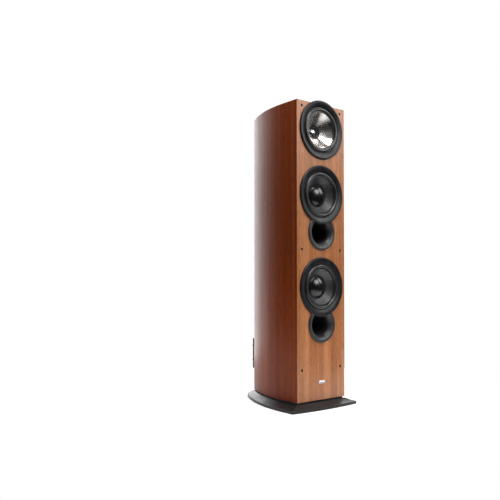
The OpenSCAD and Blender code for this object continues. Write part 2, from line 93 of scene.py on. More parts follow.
# The terminal panel: its seat behind the front, and its screws and their spacing
PANEL_SEAT = FRONT + 316 * MM
PANEL_SCREWS = [(x, z) for x in (-24 * MM, 24 * MM) for z in (-48 * MM, 48 * MM)]

# The grille sockets: their radius, their depth, and the middle pair's height over the base
SOCKET_R, SOCKET_DEPTH, SOCKET_MIDDLE = 4.5 * MM, 12 * MM, 495 * MM

# The studio: the floor's radius in metres and its own glow, the side that the world's light
# comes from, how nearly that way it begins and is full, and its strength at both
FLOOR_R, FLOOR_GLOW = 0.9, 0.3
GLOW_SIDE, GLOW_SPAN, GLOW_POWER = (0.64, 0.77, 0.0), (0.40, 0.90), (0.01, 5.0)


# ---------------------------------------------------------------- outlines and meshes

def arc(centre, radius, start, end, steps, first=0):
    """Points along an arc, angles in degrees."""
    angles = [math.radians(start + (end - start) * i / steps) for i in range(first, steps + 1)]
    return [(centre[0] + radius * math.cos(a), centre[1] + radius * math.sin(a)) for a in angles]


def plan_sides(half_w, flat, far, tail_r, side_steps, tail_steps):
    """One left side arc, the round back and the right side arc of a plan, front to front."""
    run = far - tail_r - flat
    radius = (half_w ** 2 + run ** 2 - tail_r ** 2) / (2 * (half_w - tail_r))
    turn = math.degrees(math.atan2(run, radius - half_w))
    left = arc((radius - half_w, flat), radius, 180, 180 - turn, side_steps)
    tail = arc((0, far - tail_r), tail_r, 180 - turn, turn, tail_steps, 1)
    right = arc((half_w - radius, flat), radius, turn, 0, side_steps, 1)
    return left + tail + right


def cabinet_plan(inset, start, side_steps=40, tail_steps=48):
    """The cabinet's plan as points of the row frame, open at the front."""
    sides = plan_sides(HALF_W - inset, SIDE_FLAT, BACK - FRONT - inset, BACK_R - inset,
                       side_steps, tail_steps)
    points = [(inset - HALF_W, start)] + sides + [(HALF_W - inset, start)]
    return [(x, FRONT + y) for x, y in points]


def smooth_line(points, per_span=8):
    """A Catmull-Rom curve through the points."""
    ends = [points[0]] + list(points) + [points[-1]]
    line = []
    for a, b, c, d in zip(ends, ends[1:], ends[2:], ends[3:]):
        for i in range(per_span):
            t = i / per_span
            line.append(tuple(
                0.5 * (2 * q + (r - p) * t + (2 * p - 5 * q + 4 * r - s) * t * t
                       + (3 * q - p - 3 * r + s) * t ** 3)
                for p, q, r, s in zip(a, b, c, d)))
    return line + [tuple(points[-1])]


def mm(points):
    """The same points, from millimetres to metres."""
    return [tuple(value * MM for value in p) for p in points]


def make_piece(name, verts, faces, sharp=35):
    """A mesh object with outward faces, smooth except along edges sharper than an angle."""
    mesh = bpy.data.meshes.new(name)
    mesh.from_pydata([tuple(v) for v in verts], [], faces)
    work = bmesh.new()
    work.from_mesh(mesh)
    bmesh.ops.remove_doubles(work, verts=work.verts, dist=1e-7)
    bmesh.ops.recalc_face_normals(work, faces=work.faces)
    work.to_mesh(mesh)
    work.free()
    shade(mesh, sharp)
    piece = bpy.data.objects.new(name, mesh)
    bpy.context.scene.collection.objects.link(piece)
    return piece


def shade(mesh, sharp):
    """Smooth shading with sharp edges kept."""
    mesh.polygons.foreach_set("use_smooth", [True] * len(mesh.polygons))
    mesh.set_sharp_from_angle(angle=math.radians(sharp))
    mesh.update()


def rings_to_mesh(rings, close_rings=True, close_ends=True):
    """Vertices and quads that join rings of equal length; the last ring may join the first."""
    count = len(rings[0])
    verts = [p for ring in rings for p in ring]
    faces = []
    for i in range(len(rings) if close_ends else len(rings) - 1):
        a, b = i * count, ((i + 1) % len(rings)) * count
        for j in range(count if close_rings else count - 1):
            k = (j + 1) % count
            faces.append((a + j, a + k, b + k, b + j))
    return verts, faces


def front_axis(x, z):
    """Places (radius, height, angle) about an axis out of the front; height is forward."""
    return lambda r, h, a: (x + r * math.cos(a), FRONT - h, z + r * math.sin(a))


def back_axis(x, y, z):
    """Places (radius, height, angle) about an axis out of the back; height is backward."""
    return lambda r, h, a: (x + r * math.cos(a), y + h, z + r * math.sin(a))


def upright_axis(x, y, z):
    """Places (radius, height, angle) about an upright axis."""
    return lambda r, h, a: (x + r * math.cos(a), y + r * math.sin(a), z + h)


def lathe(name, place, profile, steps=128, closed=True, waves=None, sharp=35):
    """Turns a profile of (radius, height) about an axis. waves is (count, depth, least radius):
    points outside that radius are fluted by that depth."""
    verts, faces, rows = [], [], []
    for radius, height in profile:
        if radius < 1e-6:
            rows.append([len(verts)] * steps)
            verts.append(place(0, height, 0))
            continue
        rows.append(list(range(len(verts), len(verts) + steps)))
        for i in range(steps):
            angle = TURN * i / steps
            r = radius
            if waves and radius >= waves[2]:
                r -= waves[1] * (0.5 + 0.5 * math.cos(waves[0] * angle)) ** 2
            verts.append(place(r, height, angle))
    spans = len(rows) if closed else len(rows) - 1
    for i in range(spans):
        a, b = rows[i], rows[(i + 1) % len(rows)]
        for j in range(steps):
            k = (j + 1) % steps
            corners = list(dict.fromkeys((a[j], a[k], b[k], b[j])))
            if len(corners) > 2:
                faces.append(corners)
    return make_piece(name, verts, faces, sharp)


def rounded_box(name, low, high, radius, steps=3, sharp=35):
    """A box with rounded edges."""
    work = bmesh.new()
    bmesh.ops.create_cube(work, size=1)
    size, centre = Vector(high) - Vector(low), (Vector(high) + Vector(low)) / 2
    for v in work.verts:
        v.co = Vector(c * s for c, s in zip(v.co, size)) + centre
    bmesh.ops.bevel(work, geom=work.edges[:], offset=radius, segments=steps, profile=0.5,
                    affect="EDGES")
    mesh = bpy.data.meshes.new(name)
    work.to_mesh(mesh)
    work.free()
    shade(mesh, sharp)
    piece = bpy.data.objects.new(name, mesh)
    bpy.context.scene.collection.objects.link(piece)
    return piece


def cut(piece, cutters, sharp=35):
    """Takes the cutters' shapes out of a piece, and throws the cutters away."""
    for tool in cutters:
        step = piece.modifiers.new("cut", "BOOLEAN")
        step.operation, step.solver, step.object = "DIFFERENCE", "EXACT", tool
    bpy.context.view_layer.update()
    done = bpy.data.meshes.new_from_object(
        piece.evaluated_get(bpy.context.evaluated_depsgraph_get()))
    piece.modifiers.clear()
    piece.data = done
    shade(done, sharp)
    for tool in cutters:
        bpy.data.objects.remove(tool)
    return piece


def drum(place, radius, low, high, steps=128):
    """A plain round cutter."""
    return lathe("cutter", place, [(0, low), (radius, low), (radius, high), (0, high)], steps,
                 closed=False)


def finish_piece(piece, material, body, slot, *nodes):
    """Gives a piece its material and its body, and hides the CAD nodes that it stands for; the slot is not
    used.
    """
    piece.data.materials.clear()
    piece.data.materials.append(material)
    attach(piece, body)
    if nodes:
        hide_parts(*nodes)
    return piece


# ---------------------------------------------------------------- materials

class Surface:
    """Short calls for building one node material in the row frame's own coordinates."""

    def __init__(self, name, metal=0.0, rough=0.5, color=(0.5, 0.5, 0.5)):
        self.material = bpy.data.materials.new(name)
        self.material.use_nodes = True
        self.tree = self.material.node_tree
        self.shader = self.tree.nodes["Principled BSDF"]
        self.shader.inputs["Metallic"].default_value = metal
        self.shader.inputs["Roughness"].default_value = rough
        self.shader.inputs["Base Color"].default_value = (*color, 1)
        self.place = self.node("ShaderNodeTexCoord").outputs["Object"]

    def node(self, kind, **settings):
        made = self.tree.nodes.new(kind)
        for key, value in settings.items():
            setattr(made, key, value)
        return made

    def link(self, source, target):
        self.tree.links.new(source, target)

    def set(self, **values):
        """Constant values of the shader, such as Coat_Weight=0.2."""
        for key, value in values.items():
            self.shader.inputs[key.replace("_", " ")].default_value = value
        return self

    def moved(self, offset, scale):
        """The material's own coordinates, scaled and shifted."""
        step = self.node("ShaderNodeMapping")
        step.inputs["Location"].default_value = offset
        step.inputs["Scale"].default_value = scale
        self.link(self.place, step.inputs["Vector"])
        return step.outputs["Vector"]

    def noise(self, scale, detail=4.0, rough=0.55, offset=(0, 0, 0), warp=0.0):
        """Noise of a given frequency per metre along each axis."""
        step = self.node("ShaderNodeTexNoise")
        step.inputs["Scale"].default_value = 1.0
        step.inputs["Detail"].default_value = detail
        step.inputs["Roughness"].default_value = rough
        step.inputs["Distortion"].default_value = warp
        scale = scale if isinstance(scale, tuple) else (scale,) * 3
        self.link(self.moved(offset, scale), step.inputs["Vector"])
        return step.outputs["Fac"]

    def ramp(self, value, stops):
        """A colour ramp with stops of (place, colour)."""
        step = self.node("ShaderNodeValToRGB")
        while len(step.color_ramp.elements) < len(stops):
            step.color_ramp.elements.new(0.5)
        for element, (place, color) in zip(step.color_ramp.elements, stops):
            element.position = place
            element.color = (*color, 1) if len(color) == 3 else color
        self.link(value, step.inputs["Fac"])
        return step.outputs["Color"]

    def levels(self, value, low, high, out_low=0.0, out_high=1.0):
        """Stretches a value's range low to high over out_low to out_high, clamped."""
        step = self.node("ShaderNodeMapRange", clamp=True)
        for key, number in zip(("From Min", "From Max", "To Min", "To Max"),
                               (low, high, out_low, out_high)):
            step.inputs[key].default_value = number
        self.link(value, step.inputs["Value"])
        return step.outputs["Result"]

    def math(self, kind, a, b=None):
        """Arithmetic on numbers or other nodes' outputs."""
        step = self.node("ShaderNodeMath", operation=kind)
        for socket, value in zip(step.inputs, (a, b)):
            if isinstance(value, (int, float)):
                socket.default_value = value
            elif value is not None:
                self.link(value, socket)
        return step.outputs["Value"]

    def mix(self, kind, fac, a, b):
        """Blends two colours, each a tuple or another node's output."""
        step = self.node("ShaderNodeMix", data_type="RGBA", blend_type=kind)
        for socket, value in ((step.inputs[0], fac), (step.inputs[6], a), (step.inputs[7], b)):
            if isinstance(value, (int, float)):
                socket.default_value = value
            elif isinstance(value, tuple):
                socket.default_value = (*value, 1)
            else:
                self.link(value, socket)
        return step.outputs[2]

    def radius(self, x, z):
        """Distance from an axis that runs front to back through x, z."""
        parts = self.node("ShaderNodeSeparateXYZ")
        self.link(self.place, parts.inputs["Vector"])
        dx = self.math("SUBTRACT", parts.outputs["X"], x)
        dz = self.math("SUBTRACT", parts.outputs["Z"], z)
        squares = self.math("ADD", self.math("MULTIPLY", dx, dx), self.math("MULTIPLY", dz, dz))
        return self.math("SQRT", squares)

    def bump(self, height, strength, distance):
        """Fine relief from a height, at a distance in metres."""
        step = self.node("ShaderNodeBump")
        step.inputs["Strength"].default_value = strength
        step.inputs["Distance"].default_value = distance
        self.link(height, step.inputs["Height"])
        self.link(step.outputs["Normal"], self.shader.inputs["Normal"])

    def color(self, source):
        self.link(source, self.shader.inputs["Base Color"])

    def rough(self, source):
        self.link(source, self.shader.inputs["Roughness"])


def tinted(color, tint):
    """A colour multiplied by a tint."""
    return tuple(c * k for c, k in zip(color, tint))


def walnut(name, tint, shift=0.0, specular=0.4):
    """Satin walnut vinyl with upright grain, soft bands and short pores."""
    s = Surface(name, rough=0.36).set(Specular_IOR_Level=specular)
    grain = s.noise((46, 46, 1.1), 6, 0.62, (shift, shift, 0), 0.35)
    fine = s.noise((230, 230, 5), 4, 0.6, (shift, 0, 0))
    bands = s.noise((8, 8, 0.55), 2, 0.5, (3 + shift, 1, 0), 0.6)
    pores = s.noise((900, 900, 42), 2, 0.5)
    wood = s.ramp(grain, [
        (0.28, tinted((0.215, 0.078, 0.026), tint)), (0.42, tinted((0.300, 0.120, 0.045), tint)),
        (0.55, tinted((0.350, 0.148, 0.060), tint)), (0.72, tinted((0.420, 0.195, 0.086), tint))])
    streaks = s.ramp(fine, [(0.30, (0.80, 0.75, 0.71)), (0.60, (1.0, 1.0, 1.0))])
    wood = s.mix("MULTIPLY", 0.75, wood, streaks)
    broad = s.ramp(bands, [(0.30, (0.70, 0.62, 0.56)), (0.52, (1.0, 1.0, 1.0)),
                           (0.75, (1.12, 1.05, 0.98))])
    wood = s.mix("MULTIPLY", 0.9, wood, broad)
    pore = s.levels(pores, 0.36, 0.44)
    dark = s.ramp(pore, [(0.0, (0.45, 0.38, 0.33)), (1.0, (1.0, 1.0, 1.0))])
    s.color(s.mix("MULTIPLY", 0.8, wood, dark))
    s.rough(s.levels(fine, 0.3, 0.7, 0.42, 0.32))
    s.bump(s.math("ADD", s.math("MULTIPLY", pore, 0.7), fine), 0.12, 0.0004)
    return s.material


def moulded(name, color, rough, grain=1500, strength=0.12, spread=0.06, specular=0.5):
    """Moulded plastic or rubber with a fine spark-eroded grain and uneven sheen."""
    s = Surface(name, rough=rough, color=color).set(Specular_IOR_Level=specular)
    cloud = s.noise(38, 4, 0.6)
    speck = s.noise(grain, 2, 0.5)
    low = tuple(c * 0.82 for c in color)
    high = tuple(c * 1.2 + 0.002 for c in color)
    s.color(s.ramp(cloud, [(0.3, low), (0.7, high)]))
    s.rough(s.levels(cloud, 0.3, 0.7, rough - spread, rough + spread))
    s.bump(speck, strength, 0.0002)
    return s.material


def turned(name, x, z, color, metal, rough, pitch, strength, spread=0.12, coat=0.0, streak=0.0):
    """A surface with fine rings about a driver's axis, whose shine can streak across them."""
    s = Surface(name, metal=metal, rough=rough, color=color).set(Coat_Weight=coat)
    radius = s.radius(x, z)
    rings = s.math("SINE", s.math("MULTIPLY", radius, TURN / pitch))
    if streak:
        tangent = s.node("ShaderNodeTangent", direction_type="RADIAL", axis="Y")
        s.link(tangent.outputs["Tangent"], s.shader.inputs["Tangent"])
        s.set(Anisotropic=streak, Anisotropic_Rotation=0.25)
    cloud = s.noise(60, 4, 0.6)
    low = tuple(c * 0.84 for c in color)
    high = tuple(min(1.0, c * 1.14) for c in color)
    s.color(s.ramp(cloud, [(0.32, low), (0.68, high)]))
    s.rough(s.levels(cloud, 0.3, 0.7, rough - spread / 2, rough + spread / 2))
    speck = s.noise(1400, 2, 0.6)
    s.bump(s.math("ADD", rings, s.math("MULTIPLY", speck, 0.8)), strength, 0.00012)
    return s.material


def plated(name, color, rough, scratches=(220, 220, 220)):
    """Plated or brushed metal with faint smears."""
    s = Surface(name, metal=1.0, rough=rough, color=color)
    smear = s.noise(scratches, 5, 0.65)
    low = tuple(c * 0.86 for c in color)
    s.color(s.ramp(smear, [(0.3, low), (0.7, color)]))
    s.rough(s.levels(smear, 0.3, 0.7, max(0.05, rough - 0.08), rough + 0.12))
    s.bump(smear, 0.06, 0.0002)
    return s.material


def board_material(name, color, grain):
    """Bare or soft board with flecks."""
    s = Surface(name, rough=0.85, color=color)
    fleck = s.noise(grain, 5, 0.7)
    s.color(s.ramp(fleck, [(0.3, tuple(c * 0.7 for c in color)), (0.7, color)]))
    s.bump(fleck, 0.4, 0.0006)
    return s.material


def glossy(name, color, rough=0.08, coat=0.6):
    """Glossy moulded surface with a trace of orange peel."""
    s = Surface(name, rough=rough, color=color).set(Coat_Weight=coat, Coat_Roughness=0.04)
    wave = s.noise(120, 3, 0.5)
    s.color(s.ramp(wave, [(0.3, tuple(c * 0.8 for c in color)), (0.7, color)]))
    s.rough(s.levels(wave, 0.3, 0.7, rough, rough + 0.06))
    s.bump(wave, 0.03, 0.0004)
    return s.material


# ---------------------------------------------------------------- cabinet

def make_shell(material):
    """The curved side and back wall, with eased rims and the terminal panel's opening."""
    ease = 1.0 * MM
    levels = [(0, BASE + ease), (0, TOP - ease), (ease * 0.3, TOP - ease * 0.3), (ease, TOP),
              (SHELL_T - ease, TOP), (SHELL_T, TOP - ease), (SHELL_T, BASE + ease),
              (SHELL_T - ease, BASE), (ease, BASE), (ease * 0.3, BASE + ease * 0.3)]
    rings = []
    for inset, z in levels:
        plan = cabinet_plan(inset, BAFFLE_T)
        rings.append([(x, y, z) for x, y in plan])
    verts, faces = rings_to_mesh(rings, close_rings=False)
    count = len(rings[0])
    for end in (0, count - 1):
        faces.append([i * count + end for i in range(len(rings))])
    shell = make_piece("shell_wrap", verts, faces)
    low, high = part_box("terminal_panel")
    outer = rounded_box("cutter", (low.x - FIT, PANEL_SEAT, low.z - FIT),
                        (high.x + FIT, high.y + 50 * MM, high.z + FIT), 0.2 * MM)
    inner = rounded_box("cutter", (-20 * MM, PANEL_SEAT - 30 * MM, low.z + 10 * MM),
                        (20 * MM, PANEL_SEAT + 20 * MM, high.z - 10 * MM), 0.2 * MM)
    cut(shell, [outer, inner])
    return finish_piece(shell, material, "cabinet", "walnut_wrap", "cabinet_shell")


def socket_places():
    """The six grille sockets as (x, z), read from their node's box."""
    low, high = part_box("grille_sockets")
    return [(x, z) for x in (low.x + SOCKET_R, high.x - SOCKET_R)
            for z in (high.z - SOCKET_R, BASE + SOCKET_MIDDLE, low.z + SOCKET_R)]


def make_board(material, edging):
    """The front board with eased edges and its round openings; its sides wear the wrap."""
    board = rounded_box("front_board", BOARD_LOW, BOARD_HIGH, 0.9 * MM, 3)
    tools = []
    for z in AXES.values():
        tools.append(drum(front_axis(0, z), CUTOUT_R, -BAFFLE_T - 1 * MM, -FLANGE_T + 1 * MM))
        tools.append(drum(front_axis(0, z), FLANGE_R + FIT, -FLANGE_T - FIT, 5 * MM))
    for name in ("upper", "lower"):
        tools.append(drum(front_axis(0, AXES[name] - PORT_DROP), 50.5 * MM,
                          -BAFFLE_T - 2 * MM, 6 * MM))
    for x, z in socket_places():
        tools.append(drum(front_axis(x, z), SOCKET_R + 0.1 * MM, -SOCKET_DEPTH, 4 * MM, 48))
    cut(board, tools)
    finish_piece(board, material, "cabinet", "walnut_front", "front_baffle")
    board.data.materials.append(edging)
    reach = BOARD_HIGH[0] - 1.5 * MM
    for face in board.data.polygons:
        if abs(face.normal.x) > 0.5 and abs(face.center.x) > reach:
            face.material_index = 1
    return board


def make_sockets(material):
    """Small cups with a rolled lip."""
    lip_r = 1.0 * MM
    lip = arc((SOCKET_R - lip_r, -lip_r / 2), lip_r, 0, 180, 8)
    profile = [(SOCKET_R, -SOCKET_DEPTH)] + lip + mm([(2.5, -10), (0, -10), (0, -12)])
    for i, (x, z) in enumerate(socket_places()):
        cup = lathe(f"grille_socket_{i + 1}", front_axis(x, z), profile, 40, closed=False)
        finish_piece(cup, material, "cabinet", "black_plastic", "grille_sockets")


def make_badge(material):
    """A blank plate with a raised border."""
    low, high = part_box("badge")
    plate = rounded_box("badge_plate", low, high, 0.45 * MM, 3)
    edge = 1.0 * MM
    field = rounded_box("cutter", (low.x + edge, low.y - 1 * MM, low.z + edge),
                        (high.x - edge, low.y + 0.35 * MM, high.z - edge), 0.1 * MM, 2)
    cut(plate, [field])
    return finish_piece(plate, material, "cabinet", "badge", "badge")


# ---------------------------------------------------------------- plinth

def plinth_outline(front_steps=32, side_steps=40, tail_steps=40):
    """Front edge, then right side, back and left side, matched point for point."""
    half_w = PLINTH_HIGH.x
    bow_r = (half_w ** 2 + PLINTH_BOW ** 2) / (2 * PLINTH_BOW)
    middle_y = -PLINTH_CORNER - PLINTH_BOW + bow_r
    swing = math.degrees(math.asin(half_w / bow_r))
    front = arc((0, middle_y), bow_r, 270 - swing, 270 + swing, front_steps)
    sides = plan_sides(half_w, PLINTH_FLAT, PLINTH_HIGH.y - FRONT, PLINTH_BACK_R,
                       side_steps, tail_steps)
    return front, list(reversed(sides))


def plinth_ring(share, inset, z):
    """One level of the plinth: share 0 is its own outline and 1 the cabinet's, drawn in."""
    front, sides = plinth_outline()
    cab_sides = list(reversed(plan_sides(HALF_W, SIDE_FLAT, BACK - FRONT, BACK_R, 40, 40)))
    cab_front = [(HALF_W * (2 * i / (len(front) - 1) - 1), 0.0) for i in range(len(front))]
    outer = front + sides
    inner = cab_front + cab_sides
    centre_y = (PLINTH_HIGH.y + PLINTH_LOW.y) / 2 - FRONT
    ring = []
    for (ax, ay), (bx, by) in zip(outer, inner):
        x, y = ax + (bx - ax) * share, ay + (by - ay) * share
        reach = math.hypot(x, y - centre_y)
        pull = 1 - inset / reach
        ring.append((x * pull, FRONT + centre_y + (y - centre_y) * pull, z))
    return ring


def make_plinth(material):
    """Bevelled plinth: a lip, a slightly hollow slope with mitred corners, and a raised pad."""
    edge = 1.2 * MM
    levels = [(0, edge, 0), (0, edge * 0.3, edge * 0.3), (0, 0, edge), (0, 0, LIP_H - edge)]
    levels += [(0, edge * (1 - math.cos(a)), LIP_H - edge + edge * math.sin(a))
               for a in (0.5, 1.0, 1.35)]
    slope_steps = 10
    for i in range(1, slope_steps + 1):
        share = i / slope_steps
        rise = 0.72 * share + 0.28 * share ** 2.2
        levels.append((share * 0.985 + 0.015, 0, LIP_H + (BEVEL_TOP - LIP_H) * rise))
    levels += [(1, 1.0 * MM, BEVEL_TOP), (1, SHADOW_INSET, BEVEL_TOP), (1, SHADOW_INSET, BASE)]
    rings = [plinth_ring(*level) for level in levels]
    verts, faces = rings_to_mesh(rings, close_ends=False)
    count = len(rings[0])
    faces.append(list(range(count))[::-1])
    faces.append([(len(rings) - 1) * count + i for i in range(count)])
    plinth = make_piece("plinth_body", verts, faces, sharp=22)
    tools = []
    for i in range(1, 5):
        spot = middle(f"foot_pad_{i}")
        tools.append(drum(upright_axis(spot.x, spot.y, 0), 16 * MM, -3 * MM, 11 * MM, 64))
        tools.append(drum(upright_axis(spot.x, spot.y, 0), 4.3 * MM, 9 * MM, BASE + 2 * MM, 32))
    cut(plinth, tools, sharp=22)
    return finish_piece(plinth, material, "cabinet", "plinth", "plinth")


def make_feet(rubber):
    """Pads with a soft edge and a shallow ring underneath."""
    profile = mm([(0, 0.4), (8, 0.4), (8.5, 0), (11.2, 0), (12.1, 0.4), (12.5, 1.2), (12.5, 2.6),
                  (12.0, 3.4), (9.8, 4.7), (9.0, 5), (0, 5)])
    for i in range(1, 5):
        spot = middle(f"foot_pad_{i}")
        pad = lathe(f"pad_{i}", upright_axis(spot.x, spot.y, 0), profile, 64, closed=False)
        finish_piece(pad, rubber, f"foot_pad_{i}", "foot_rubber", f"foot_pad_{i}")


# ---------------------------------------------------------------- drivers

def make_trim_ring(driver, material):
    """Dished ring: a rounded rim and one smooth slope down to the opening."""
    r, h = RING_R / MM, RING_H / MM
    rim = arc((r - 4, h - 4), 4, 0, 90, 12)
    dish = smooth_line([rim[-1], (r - 8.5, h - 0.55), (r - 13, h - 1.7), (r - 17, h - 3.1),
                        (r - 20.5, h - 4.5)], 6)
    lip = [(r - 21.5, 0.9), (r - 22, 0.5), (r - 22, 0.0)]
    profile = mm([(r, 0.0)] + rim + dish[1:] + lip)
    z = AXES[driver]
    ring = lathe(f"{driver}_ring", front_axis(0, z), profile, 192)
    dot = drum(front_axis(0, z - RING_R + 10 * MM), 1.6 * MM, RING_H - 3 * MM, 20 * MM, 32)
    cut(ring, [dot])
    return finish_piece(ring, material, "cabinet", "black_plastic", f"{driver}_trim_ring")


def make_surround(driver, part, assembly, material):
    """Half-roll edge that stretches between the frame and the moving cone."""
    centre, roll, skin = 68.7, 5.8, 0.9
    outer = arc((centre, -0.5), roll, 0, 180, 24)
    inner = arc((centre, -0.7), roll - skin, 180, 0, 24)
    profile = mm([(77, -1.5), (77, -0.5)] + outer + [(59.6, -0.5), (59.4, -0.9), (59.5, -1.3)]
                 + inner + [(centre + roll - skin, -1.5)])
    z = AXES[driver]
    edge = lathe(f"{part}_roll", front_axis(0, z), profile, 160)
    edge.data.materials.append(material)
    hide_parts(f"{part}_surround")
    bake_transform(edge, "cabinet", assembly, (0, FRONT - 0.01, z), (0, FRONT + 0.01, z))
    still, moving = (centre + roll) * MM, (centre - roll) * MM
    weights = edge.data.attributes["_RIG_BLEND"]
    for i, v in enumerate(edge.data.vertices):
        radius = math.hypot(v.co.x, v.co.z - z)
        share = min(1.0, max(0.0, (still - radius) / (still - moving)))
        weights.data[i].value = share * share * (3 - 2 * share)
    return edge


def cone_profile(edge_r, edge_h, neck_r, neck_h, dip, skin, steps=24):
    """Front face from edge to neck and back again, curving by the dip."""
    front = []
    for i in range(steps + 1):
        t = i / steps
        front.append((edge_r + (neck_r - edge_r) * t,
                      edge_h + (neck_h - edge_h) * t - dip * math.sin(math.pi * t)))
    return mm([(edge_r + 0.25, edge_h - skin / 2)] + front
              + [(r, h - skin) for r, h in reversed(front)])


def make_cone(driver, part, assembly, slot, material, neck_r, neck_h, dip):
    """A moving cone."""
    profile = cone_profile(62, -2, neck_r, neck_h, dip, 1.0)
    cone = lathe(f"{part}_diaphragm", front_axis(0, AXES[driver]), profile, 192)
    return finish_piece(cone, material, assembly, slot, f"{part}_cone")


def make_dust_cap(driver, assembly, material):
    """A convex cap with a small glue bead round its foot."""
    foot, rise = 36.5, 15.0
    ball = (foot ** 2 + rise ** 2) / (2 * rise)
    spread = math.degrees(math.asin(foot / ball))
    top = -2.0
    outer = arc((0, top - ball), ball, 90 - spread, 90, 28)
    under = arc((0, top - ball), ball - 1.0, 90, 90 - spread, 28)
    bead = [(foot + 0.9, top - rise - 0.9), (foot + 0.7, top - rise + 0.1)]
    profile = mm(bead + outer[1:-1] + [(0, top), (0, top - 1.0)] + under[1:])
    cap = lathe(f"{driver}_cap", front_axis(0, AXES[driver]), profile, 160)
    return finish_piece(cap, material, assembly, "cap_gloss", f"{driver}_dust_cap")


def make_waveguide(material):
    """Short horn with rounded lips and tapered radial vanes over the dome's edge."""
    z = AXES["coax"]
    horn = smooth_line([(22.9, -33.6), (20.5, -35.4), (17.2, -37.6), (14.6, -39.3),
                        (13.4, -40.5)], 6)
    profile = mm([(23.6, -44), (23.6, -34.0), (23.35, -33.55)] + horn
                 + [(13.5, -41.4), (13.9, -44)])
    guide = lathe("waveguide_horn", front_axis(0, z), profile, 160)
    verts, faces = [], []
    side = [(22.6, -33.7), (22.6, -35.2), (14.0, -40.2), (13.0, -39.1), (6.0, -35.3),
            (5.4, -34.6), (6.2, -34.2), (13.4, -35.0), (18.5, -34.1)]
    for k in range(8):
        angle = TURN * k / 8
        along = Vector((math.cos(angle), 0, math.sin(angle)))
        across = Vector((-math.sin(angle), 0, math.cos(angle)))
        start = len(verts)
        for flip in (-1, 1):
            for r, h in side:
                half = (0.35 + 0.45 * (r - 5) / 18) * MM * flip
                verts.append(Vector((0, FRONT - h * MM, z)) + along * r * MM + across * half)
        n = len(side)
        faces.append([start + i for i in range(n)])
        faces.append([start + n + i for i in reversed(range(n))])
        faces += [(start + i, start + (i + 1) % n, start + n + (i + 1) % n, start + n + i)
                  for i in range(n)]
    vanes = make_piece("waveguide_vanes", verts, faces, sharp=30)
    finish_piece(vanes, material, "cabinet", "tweeter_guide", "tweeter_waveguide")
    return finish_piece(guide, material, "cabinet", "tweeter_guide", "tweeter_waveguide")


def make_tweeter_dome(material):
    """Bright dome on its short former."""
    foot, rise, top = 12.5, 4.5, -36.0
    ball = (foot ** 2 + rise ** 2) / (2 * rise)
    spread = math.degrees(math.asin(foot / ball))
    outer = arc((0, top - ball), ball, 90 - spread, 90, 20)
    under = arc((0, top - ball), ball - 0.4, 90, 90 - spread, 20)
    profile = mm([(12.5, -47.4)] + outer[:-1] + [(0, top), (0, top - 0.4)] + under[1:]
                 + [(12.1, -47.4)])
    dome = lathe("tweeter_cap", front_axis(0, AXES["coax"]), profile, 128)
    return finish_piece(dome, material, "tweeter_assembly", "tweeter_dome", "tweeter_dome")


def make_port(driver, material):
    """Flared reflex port, cut to tuck under its woofer's ring."""
    z = AXES[driver] - PORT_DROP
    bore, mouth, throat, flange = 36.5, 5.0, 18.0, 60.0
    flare = [(bore + (flange - 4 - bore) * (1 - math.cos(a)),
              mouth - (mouth + throat) * (1 - math.sin(a)))
             for a in (math.pi / 2 * i / 24 for i in range(25))]
    rim = arc((flange - 3, 2.0), 3.0, 90, 0, 8)
    profile = mm([(bore, -140)] + flare + rim
                 + [(flange, 0), (flange - 10, 0), (flange - 12, -6), (bore + 7, -12),
                    (bore + 2.5, -20), (bore + 2.5, -140)])
    port = lathe(f"{driver}_port", front_axis(0, z), profile, 192)
    above = front_axis(0, AXES[driver])
    cut(port, [drum(above, RING_R + FIT, 0, 20 * MM, 192),
               drum(above, FLANGE_R + FIT, -FLANGE_T - FIT, 1 * MM, 192)])
    return finish_piece(port, material, "cabinet", "black_plastic", "port_tubes")


# ---------------------------------------------------------------- terminals

def make_terminal_panel(material):
    """The rounded panel with a raised border, and the box behind it."""
    low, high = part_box("terminal_panel")
    face = high.y
    panel = rounded_box("terminal_plate", (low.x, PANEL_SEAT, low.z), high, 1.4 * MM, 4)
    border = 2.6 * MM
    field = rounded_box("cutter", (low.x + border, face - 0.8 * MM, low.z + border),
                        (high.x - border, face + 5 * MM, high.z - border), 0.6 * MM, 3)
    hollow = rounded_box("cutter", (-17 * MM, PANEL_SEAT - 5 * MM, low.z + 13 * MM),
                         (17 * MM, face - 3 * MM, high.z - 13 * MM), 1.0 * MM, 2)
    wells = [drum(back_axis(x, face, middle("terminal_panel").z + z), 3.5 * MM,
                  -3.2 * MM, 2 * MM, 32)
             for x, z in PANEL_SCREWS]
    cut(panel, [field, hollow] + wells)
    finish_piece(panel, material, "cabinet", "black_plastic", "terminal_panel")
    tub = rounded_box("terminal_tub", (-19.7 * MM, low.y, low.z + 10.5 * MM),
                      (19.7 * MM, PANEL_SEAT, high.z - 10.5 * MM), 1.0 * MM, 2)
    finish_piece(tub, material, "cabinet", "black_plastic", "terminal_panel")
    return face


def post_spots():
    """The four posts as (number, x, z), from their washers."""
    return [(i, middle(f"post_washer_{i}").x, middle(f"post_washer_{i}").z) for i in range(1, 5)]


